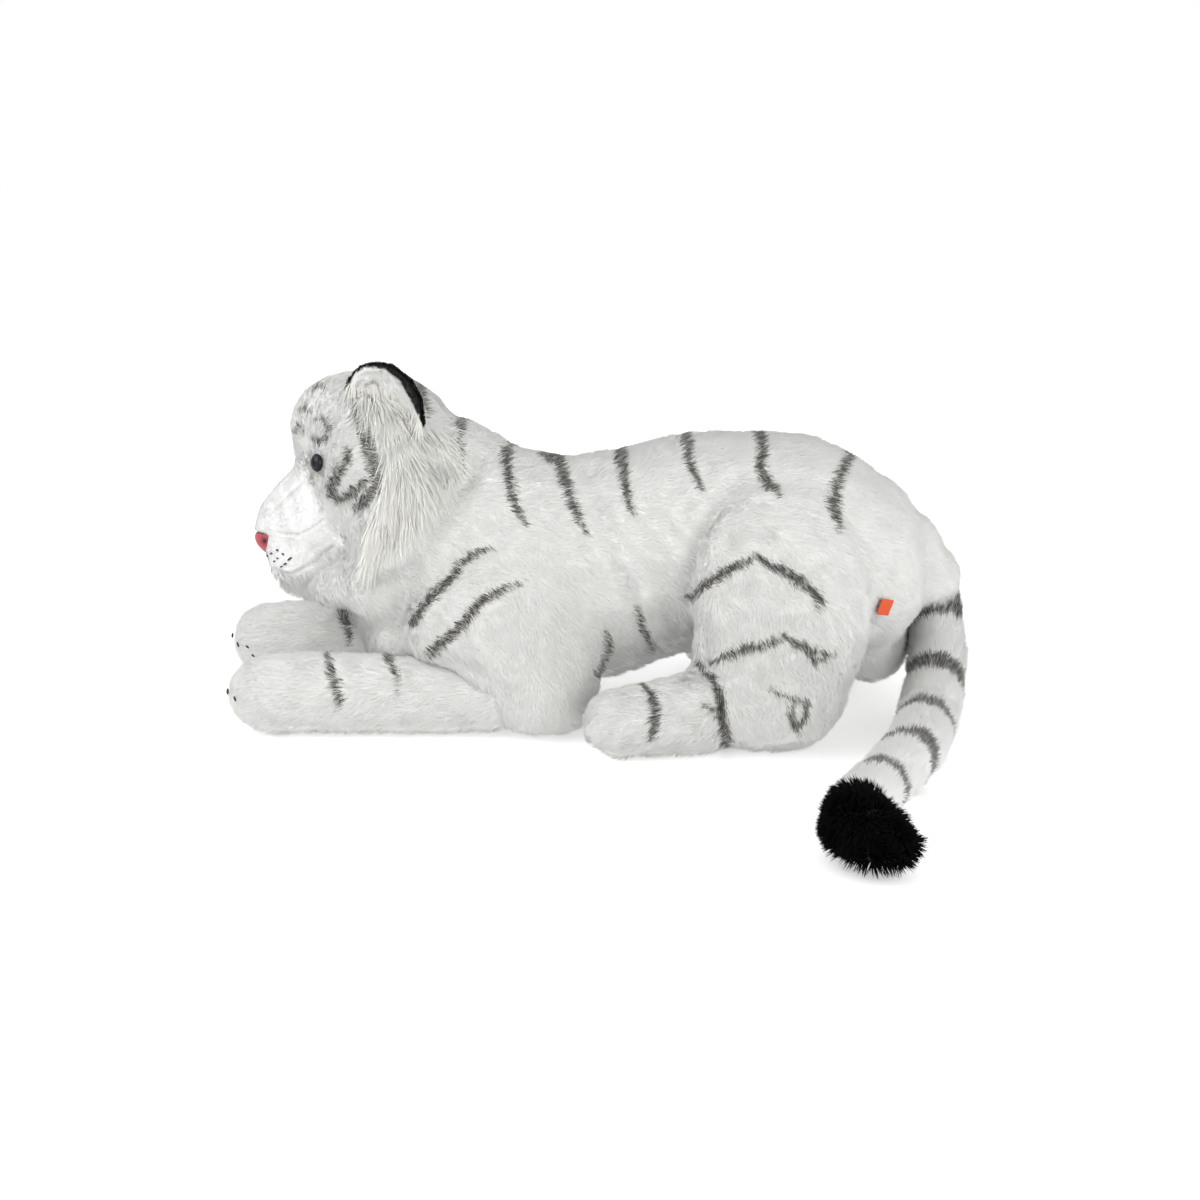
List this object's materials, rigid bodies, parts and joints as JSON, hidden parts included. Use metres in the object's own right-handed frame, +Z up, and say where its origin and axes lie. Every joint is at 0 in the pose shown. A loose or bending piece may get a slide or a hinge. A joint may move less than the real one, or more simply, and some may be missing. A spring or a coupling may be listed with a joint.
{
  "type": "plush toy tiger",
  "caption": "Lying white plush tiger with dark stripes; the head, ears, forelegs, hind feet and tail turn on stuffed joints.",
  "frame": {"origin": "the middle of the footprint's bounding rectangle, at floor level", "axes": "+Z up, the tiger faces -X, its left side is on -Y and its tail lies towards -Y"},
  "size_m": [0.7768, 0.7064, 0.3725],
  "materials": {
    "white_pile": "soft tufted pile, white",
    "cream_pile": "long soft pile, cream",
    "short_pile": "short smooth pile, white",
    "black_pile": "long pile, black",
    "fibre": "loose polyester fibre",
    "eye_gloss": "glossy black",
    "nose_plastic": "satin red",
    "washer_plastic": "plain white",
    "tag_cloth": "woven, orange red"
  },
  "bodies": {
    "trunk": {"left_upper_arm_cover": "white_pile", "left_upper_arm_filling": "fibre", "left_haunch_cover": "white_pile", "left_haunch_filling": "fibre", "right_upper_arm_cover": "white_pile", "right_upper_arm_filling": "fibre", "right_haunch_cover": "white_pile", "right_haunch_filling": "fibre", "trunk_cover": "white_pile", "trunk_filling": "fibre", "sewn_tag": "tag_cloth"},
    "neck": {"neck_filling": "fibre"},
    "head": {"head_cover": "white_pile", "head_filling": "fibre", "muzzle_cover": "short_pile", "muzzle_filling": "fibre", "nose": "nose_plastic", "nose_washer": "washer_plastic", "left_eye": "eye_gloss", "right_eye": "eye_gloss", "left_eye_washer": "washer_plastic", "right_eye_washer": "washer_plastic", "left_muzzle_pad": "short_pile", "right_muzzle_pad": "short_pile", "left_cheek_ruff": "cream_pile", "right_cheek_ruff": "cream_pile", "chin_pad": "short_pile"},
    "left_ear": {"left_ear_back": "black_pile", "left_ear_lining": "cream_pile"},
    "right_ear": {"right_ear_back": "black_pile", "right_ear_lining": "cream_pile"},
    "left_forearm": {"left_forearm_cover": "white_pile", "left_forearm_filling": "fibre"},
    "right_forearm": {"right_forearm_cover": "white_pile", "right_forearm_filling": "fibre"},
    "left_hind_foot": {"left_hind_foot_cover": "white_pile", "left_hind_foot_filling": "fibre"},
    "right_hind_foot": {"right_hind_foot_cover": "white_pile", "right_hind_foot_filling": "fibre"},
    "tail_base": {"tail_base_cover": "white_pile", "tail_base_filling": "fibre"},
    "tail_middle": {"tail_middle_cover": "white_pile", "tail_middle_filling": "fibre"},
    "tail_end": {"tail_end_cover": "white_pile", "tail_end_filling": "fibre", "tail_tuft": "black_pile"}
  },
  "joints": [
    {"name": "head_turn", "type": "hinge", "parent": "trunk", "child": "neck", "pos_m": [-0.16238, 0.15043, 0.205], "axis": [-0.7314, 0, 0.682], "range_deg": [-20, 20], "stiffness_Nm_per_rad": 8},
    {"name": "head_nod", "type": "hinge", "parent": "neck", "child": "head", "pos_m": [-0.16238, 0.15043, 0.205], "axis": [0, 1, 0], "range_deg": [-8, 8], "stiffness_Nm_per_rad": 12},
    {"name": "left_ear_fold", "type": "hinge", "parent": "head", "child": "left_ear", "pos_m": [-0.18924, 0.11028, 0.3217], "axis": [0.891, -0.4496, 0.0632], "range_deg": [-12, 8], "stiffness_Nm_per_rad": 0.3},
    {"name": "right_ear_fold", "type": "hinge", "parent": "head", "child": "right_ear", "pos_m": [-0.18924, 0.22118, 0.30611], "axis": [0.891, 0.4496, -0.0632], "range_deg": [-12, 8], "stiffness_Nm_per_rad": 0.3},
    {"name": "left_forearm_swing", "type": "hinge", "parent": "trunk", "child": "left_forearm", "pos_m": [-0.08438, 0.06243, 0.041], "axis": [0, 0, 1], "range_deg": [-4, 12]},
    {"name": "right_forearm_swing", "type": "hinge", "parent": "trunk", "child": "right_forearm", "pos_m": [-0.11038, 0.24243, 0.041], "axis": [0, 0, 1], "range_deg": [-12, 4]},
    {"name": "left_hind_foot_swing", "type": "hinge", "parent": "trunk", "child": "left_hind_foot", "pos_m": [0.13962, -0.00157, 0.0415], "axis": [0, 0, 1], "range_deg": [-5, 12]},
    {"name": "right_hind_foot_swing", "type": "hinge", "parent": "trunk", "child": "right_hind_foot", "pos_m": [0.19962, 0.29843, 0.0415], "axis": [0, 0, 1], "range_deg": [-12, 5]},
    {"name": "tail_swing", "type": "hinge", "parent": "trunk", "child": "tail_base", "pos_m": [0.33162, 0.15043, 0.16], "axis": [0, 0, 1], "range_deg": [-4, 12]},
    {"name": "tail_middle_bend", "type": "hinge", "parent": "tail_base", "child": "tail_middle", "pos_m": [0.33562, 0.02943, 0.0305], "axis": [0, 0, 1], "range_deg": [-15, 15]},
    {"name": "tail_end_bend", "type": "hinge", "parent": "tail_middle", "child": "tail_end", "pos_m": [0.27162, -0.17157, 0.0305], "axis": [0, 0, 1], "range_deg": [-15, 15]}
  ]
}
